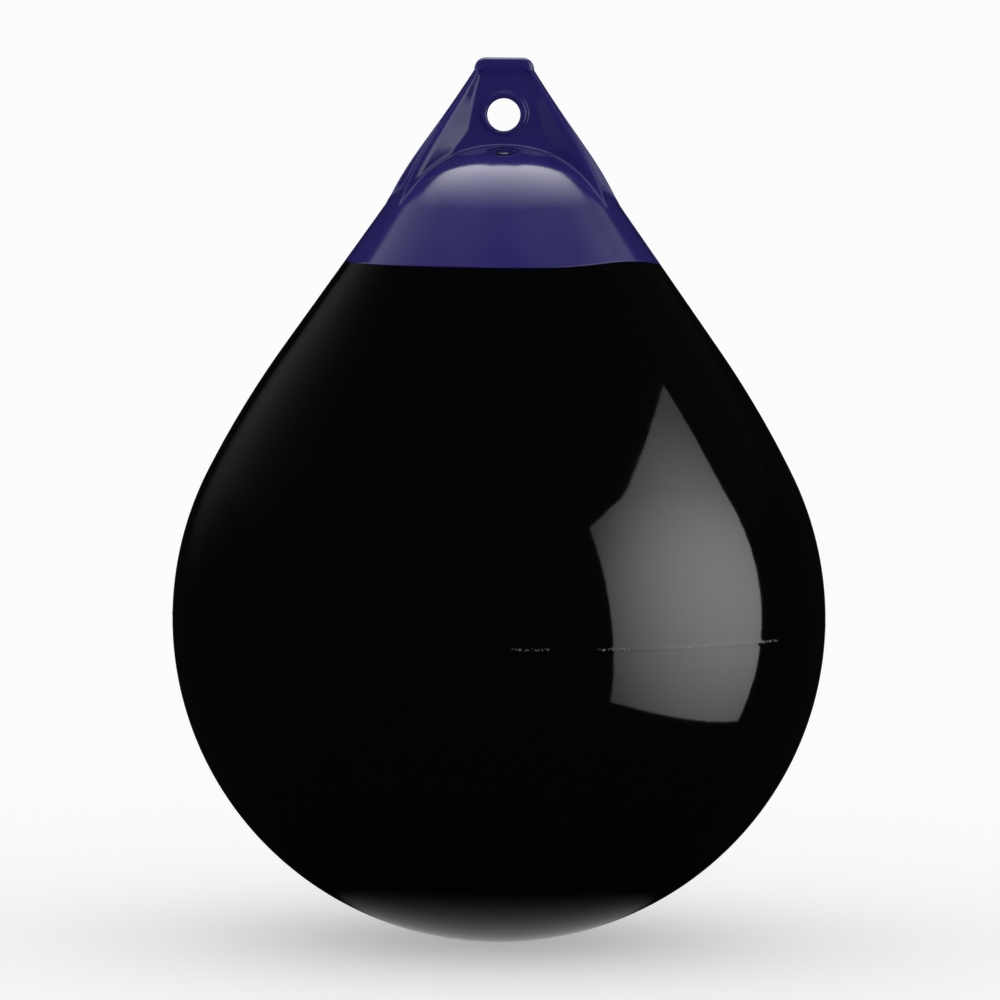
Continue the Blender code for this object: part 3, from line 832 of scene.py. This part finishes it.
def falloff(centre, size, edge, middle):
    """Glow strength from middle to edge, as the distance from a centre, in sizes, goes from 0 to 1."""
    def build(tree):
        place = node(tree, "ShaderNodeTexCoord").outputs["Object"]
        near = node(tree, "ShaderNodeMapping",
                    {"Location": [-c / s for c, s in zip(centre, size)], "Scale": [1 / s for s in size]},
                    {"Vector": place})
        ball = node(tree, "ShaderNodeTexGradient", links={"Vector": near.outputs[0]},
                    gradient_type="SPHERICAL")
        level = node(tree, "ShaderNodeMapRange", {"To Min": edge, "To Max": middle},
                     {"Value": ball.outputs["Fac"]}, interpolation_type="SMOOTHSTEP")
        return level.outputs[0]
    return build


def side_point(turn, distance, across, height):
    """A point on an upright plane that faces the buoy from a compass turn, front being 0."""
    facing = np.array([math.sin(turn), -math.cos(turn)])
    along = np.array([math.cos(turn), math.sin(turn)])
    x, y = facing * distance + along * across
    return (float(x), float(y), height)


def seen_rays(tree):
    """1 for the rays that show the background: from the camera, off a mirror or through glass."""
    rays = node(tree, "ShaderNodeLightPath").outputs
    mirror = node(tree, "ShaderNodeMath", links={0: rays["Is Camera Ray"], 1: rays["Is Glossy Ray"]},
                  operation="MAXIMUM")
    return node(tree, "ShaderNodeMath", links={0: mirror.outputs[0], 1: rays["Is Transmission Ray"]},
                operation="MAXIMUM").outputs[0]


beads = [bpy.data.objects["root_bead_front"], bpy.data.objects["root_bead_back"]]
blue_pieces = receivers("blue_pieces", [head, bush, screw, seal, *beads])
black_skin = receivers("black_skin", [skin])

# the window's light stands on the floor 0.6 m from the buoy, brightest a little right of its middle
turn = math.radians(70)
corners = ((-0.43, 0.004), (0.14, 0.004), (0.23, 0.90), (-0.49, 0.72))
window = [side_point(turn, 0.60, *corner) for corner in corners]
glow = falloff(side_point(turn, 0.60, -0.10, 0.38), (0.55, 0.55, 0.60), 0.8, 5.2)
glow_sheet("right_softbox", window, glow, black_skin)

# two weak ones on the right: the lower lights the ribs' flanks, the higher the cap's right side
low = [(1.2, -2.2, 0.02), (1.2, 0.5, 0.02), (1.2, 0.5, 1.9), (1.2, -2.2, 1.9)]
glow = falloff((1.2, -0.75, 0.75), (1.0, 2.3, 1.3), 0.0, 2.2)
glow_sheet("right_reflector", low, glow, blue_pieces)
high = [(1.3, -1.6, 0.9), (1.3, 1.15, 0.9), (1.3, 1.15, 2.9), (1.3, -1.6, 2.9)]
glow = falloff((1.3, 1.0, 1.4), (1.0, 2.2, 1.3), 0.0, 0.45)
glow_sheet("high_right_reflector", high, glow, blue_pieces)

# the broad one overhead comes to a blunt point at the back
above = [
    (-2.4, -0.75, 2.2), (2.4, -0.75, 2.2), (2.4, 0.70, 2.2),
    (0.2, 1.80, 2.2), (-0.2, 1.80, 2.2), (-2.4, 0.70, 2.2),
]
glow = falloff((0.0, 0.95, 2.2), (1.9, 2.0, 1.0), 0.0, 5.3)
glow_sheet("top_softbox", above, glow, blue_pieces)

left = [(-1.2, 0.94, 0.1), (-1.2, -1.5, 0.1), (-1.2, -1.5, 2.2), (-1.2, 0.94, 2.2)]
glow = falloff((-1.2, 0.94, 0.9), (1.0, 1.9, 2.0), 0.0, 0.85)
glow_sheet("left_reflector", left, glow, blue_pieces)
rim = [(-1.3, 2.6, 0.1), (-1.3, -1.5, 0.1), (-1.3, -1.5, 2.2), (-1.3, 2.6, 2.2)]
glow = falloff((-1.3, 1.5, 1.2), (1.0, 1.6, 1.0), 0.0, 0.10)
glow_sheet("left_glow", rim, glow, black_skin)

# black velvet keeps the gloss dark: it lies on the floor, with a soft inner edge right under the
# buoy, and stands up at 3 m, and only mirror reflections see it
turn = np.linspace(0, 2 * np.pi, ROUND_COLUMNS, endpoint=False)
radius = np.array(VELVET_RADII)[:, None]
height = np.repeat(np.array(VELVET_HEIGHTS)[:, None], ROUND_COLUMNS, axis=1)
points = np.stack([radius * np.cos(turn), radius * np.sin(turn), height], axis=-1).reshape(-1, 3)
quads = grid_quads(len(VELVET_RADII), ROUND_COLUMNS)
velvet, pile = stage_object("black_velvet", "black_velvet", points.tolist(), quads.tolist())
only_mirrored(velvet)
place = node(pile, "ShaderNodeTexCoord").outputs["Object"]
far = node(pile, "ShaderNodeVectorMath", links={0: place}, operation="LENGTH")
cover = node(pile, "ShaderNodeMapRange", {"From Min": VELVET_RADII[0], "From Max": VELVET_RADII[1]},
             {"Value": far.outputs["Value"]}, interpolation_type="SMOOTHSTEP")
bare = node(pile, "ShaderNodeBsdfTransparent")
black = node(pile, "ShaderNodeBsdfDiffuse", {"Color": linear("#101010")})
both = node(pile, "ShaderNodeMixShader",
            links={0: cover.outputs[0], 1: bare.outputs[0], 2: black.outputs[0]})
node(pile, "ShaderNodeOutputMaterial", links={"Surface": both.outputs[0]})

# the floor is one disc, and a glow that only seen rays get lifts its paint to near white
disc = np.stack([FLOOR_RADIUS * np.cos(turn), FLOOR_RADIUS * np.sin(turn), 0 * turn], axis=-1)
floor, coat = stage_object("floor", "pale_floor_paint", disc.tolist(), [list(range(ROUND_COLUMNS))])
lift = node(coat, "ShaderNodeMath", {1: 0.40}, {0: seen_rays(coat)}, operation="MULTIPLY")
matt = node(coat, "ShaderNodeBsdfDiffuse", {"Color": linear("#e6e6e6")})
white = node(coat, "ShaderNodeEmission", links={"Strength": lift.outputs[0]})
both = node(coat, "ShaderNodeAddShader", links={0: matt.outputs[0], 1: white.outputs[0]})
node(coat, "ShaderNodeOutputMaterial", links={"Surface": both.outputs[0]})

world = bpy.data.worlds.new("studio")
bpy.context.scene.world = world
world.use_nodes = True
sky = world.node_tree
sky.nodes.clear()
way = node(sky, "ShaderNodeTexCoord").outputs["Generated"]
rise = node(sky, "ShaderNodeSeparateXYZ", links={"Vector": way})
# as white as the floor at its far edge, then a dark studio higher up
backdrop = node(
    sky, "ShaderNodeMapRange",
    {"From Min": 0.0, "From Max": 0.22, "To Min": 0.95, "To Max": 0.012},
    {"Value": rise.outputs["Z"]}, interpolation_type="SMOOTHSTEP")
shown = node(sky, "ShaderNodeBackground", links={"Strength": backdrop.outputs[0]})
fill = node(sky, "ShaderNodeBackground", {"Strength": 0.9})
both = node(sky, "ShaderNodeMixShader",
            links={0: seen_rays(sky), 1: fill.outputs[0], 2: shown.outputs[0]})
node(sky, "ShaderNodeOutputWorld", links={"Surface": both.outputs[0]})

CAMERA_DISTANCE = 6.0
CAMERA_RISE = math.radians(4.4)
CAMERA_ROLL = math.radians(-0.55)
aim = np.array([-0.0045, 0.0, 0.3516])
lens = bpy.data.cameras.new("camera")
lens.lens = 271.8
lens.sensor_width = 36.0
lens.clip_end = 1000.0
camera = bpy.data.objects.new("camera", lens)
back = np.array([0.0, -math.cos(CAMERA_RISE), math.sin(CAMERA_RISE)])
camera.location = aim + CAMERA_DISTANCE * back
camera.rotation_euler = (math.pi / 2 - CAMERA_RISE, CAMERA_ROLL, 0.0)
bpy.context.collection.objects.link(camera)
bpy.context.scene.camera = camera
bpy.context.scene.view_settings.view_transform = "Standard"
